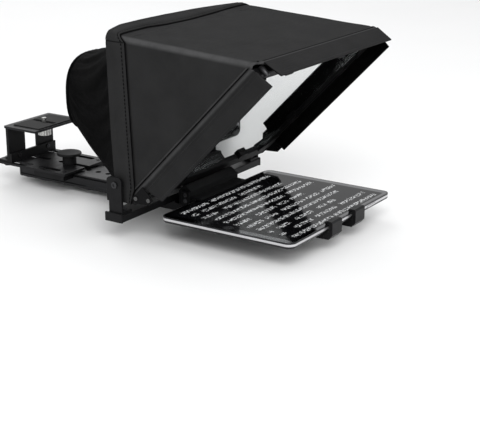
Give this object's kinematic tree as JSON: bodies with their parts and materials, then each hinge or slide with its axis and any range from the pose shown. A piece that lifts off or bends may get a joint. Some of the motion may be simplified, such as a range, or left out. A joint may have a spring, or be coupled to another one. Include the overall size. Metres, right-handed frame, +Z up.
{
  "type": "tablet teleprompter",
  "caption": "Tablet teleprompter with a sloping beam-splitter glass in a folding fabric hood, a lens sleeve, and a rail with a sliding camera riser.",
  "frame": {"origin": "centre of the tripod socket's mouth under the rail", "axes": "+Z up; +Y along the rail towards the camera; the talent stands on the -Y side; +X to the right seen from the camera"},
  "size_m": [0.3056, 0.5326, 0.2504],
  "materials": {
    "black_anodised": "satin",
    "black_plastic": "matte",
    "black_steel": "satin",
    "zinc_steel": "satin",
    "rubber": "matte",
    "coated_glass": "polished",
    "hood_fabric": "matte woven",
    "sleeve_fabric": "matte woven",
    "silver_case": "bead blasted",
    "screen_glass": "gloss"
  },
  "bodies": {
    "base": {"rail": "black_anodised", "rail_end_caps": "black_plastic", "tripod_plate": "zinc_steel", "crossbar": "black_anodised", "crossbar_bolts": "black_steel", "left_bracket": "black_anodised", "right_bracket": "black_anodised", "tilt_pins": "black_steel", "tilt_washers": "black_plastic", "tablet_clamp_bar": "black_anodised", "clamp_end_plates": "black_anodised", "clamp_end_screws": "black_steel", "left_arm_tube": "black_anodised", "right_arm_tube": "black_anodised", "tube_spacers": "black_plastic"},
    "camera_slide": {"camera_plate": "black_anodised", "clamp_jaws": "black_anodised", "glide_strips": "black_plastic", "jaw_screws": "black_steel"},
    "rail_knob": {"clamp_knob": "black_plastic"},
    "riser": {"riser_foot": "black_anodised", "riser_web": "black_anodised", "camera_deck": "black_anodised", "camera_pad": "rubber", "riser_fasteners": "black_steel"},
    "screw_slide": {"screw_carriage": "black_anodised"},
    "thumb_screw": {"camera_screw": "zinc_steel"},
    "hood": {"glass_frame_bottom": "black_anodised", "glass_frame_top": "black_anodised", "glass_frame_left": "black_anodised", "glass_frame_right": "black_anodised", "frame_gussets": "black_anodised", "glass_clips": "black_plastic", "beam_splitter": "coated_glass", "hood_left_side": "hood_fabric", "hood_right_side": "hood_fabric", "hood_top": "hood_fabric", "hood_bottom": "hood_fabric", "hood_back_frame": "black_anodised", "hood_corner_plates": "black_anodised", "hood_corner_screws": "zinc_steel", "sleeve_top": "sleeve_fabric", "sleeve_bottom": "sleeve_fabric", "sleeve_sides": "sleeve_fabric", "sleeve_hem": "sleeve_fabric"},
    "flap_left": {"left_flap": "hood_fabric"},
    "flap_right": {"right_flap": "hood_fabric"},
    "flap_top": {"top_flap": "hood_fabric"},
    "hook_left": {"left_hook_arm": "black_anodised", "left_hook_pad": "rubber"},
    "hook_right": {"right_hook_arm": "black_anodised", "right_hook_pad": "rubber"},
    "lock_left": {"left_lock_screw": "black_plastic"},
    "lock_right": {"right_lock_screw": "black_plastic"},
    "tablet": {"tablet_case": "silver_case", "tablet_screen": "screen_glass"},
    "key_home": {"home_button": "screen_glass"},
    "key_power": {"power_button": "silver_case"},
    "key_volume": {"volume_button": "silver_case"}
  },
  "joints": [
    {"name": "camera_plate_slide", "type": "slide", "parent": "base", "child": "camera_slide", "axis": [0, 1, 0], "range_m": [-0.0138, 0.026]},
    {"name": "rail_knob_turn", "type": "hinge", "parent": "base", "child": "rail_knob", "pos_m": [0, 0.157, 0.02], "axis": [0, 0, 1], "continuous": true},
    {"name": "riser_slide", "type": "slide", "parent": "camera_slide", "child": "riser", "axis": [0, 1, 0], "range_m": [-0.03, 0.001]},
    {"name": "camera_screw_slide", "type": "slide", "parent": "riser", "child": "screw_slide", "axis": [0, 1, 0], "range_m": [-0.014, 0.014]},
    {"name": "camera_screw_turn", "type": "hinge", "parent": "screw_slide", "child": "thumb_screw", "pos_m": [0, 0.2, 0.069], "axis": [0, 0, 1], "continuous": true},
    {"name": "hood_tilt", "type": "hinge", "parent": "base", "child": "hood", "pos_m": [0, -0.045, 0.0626], "axis": [1, 0, 0], "range_deg": [-15, 2]},
    {"name": "left_flap_fold", "type": "hinge", "parent": "hood", "child": "flap_left", "pos_m": [-0.138, -0.16171, 0.13331], "axis": [0, -0.6965, 0.7175], "range_deg": [0, 80]},
    {"name": "right_flap_fold", "type": "hinge", "parent": "hood", "child": "flap_right", "pos_m": [0.138, -0.16171, 0.13331], "axis": [0, -0.6965, 0.7175], "range_deg": [-56, 24]},
    {"name": "top_flap_fold", "type": "hinge", "parent": "hood", "child": "flap_top", "pos_m": [0, -0.2446, 0.2268], "axis": [1, 0, 0], "range_deg": [-40, 5]},
    {"name": "left_hook_slide", "type": "slide", "parent": "base", "child": "hook_left", "axis": [0, -1, 0], "range_m": [0, 0.04]},
    {"name": "right_hook_slide", "type": "slide", "parent": "base", "child": "hook_right", "axis": [0, -1, 0], "range_m": [0, 0.04]},
    {"name": "left_lock_turn", "type": "hinge", "parent": "base", "child": "lock_left", "pos_m": [-0.037, -0.158, 0], "axis": [0, 0, 1], "continuous": true},
    {"name": "right_lock_turn", "type": "hinge", "parent": "base", "child": "lock_right", "pos_m": [0.037, -0.158, 0], "axis": [0, 0, 1], "continuous": true},
    {"name": "tablet_slide_out", "type": "slide", "parent": "base", "child": "tablet", "axis": [1, 0, 0], "range_m": [0, 0.18]},
    {"name": "home_key_press", "type": "slide", "parent": "tablet", "child": "key_home", "axis": [0, 0, -1], "range_m": [0, 0.0005], "stiffness_N_per_m": 400, "springref_m": -0.001},
    {"name": "power_key_press", "type": "slide", "parent": "tablet", "child": "key_power", "axis": [-1, 0, 0], "range_m": [0, 0.0005], "stiffness_N_per_m": 400, "springref_m": -0.001},
    {"name": "volume_key_press", "type": "slide", "parent": "tablet", "child": "key_volume", "axis": [0, 1, 0], "range_m": [0, 0.0005], "stiffness_N_per_m": 400, "springref_m": -0.001}
  ]
}
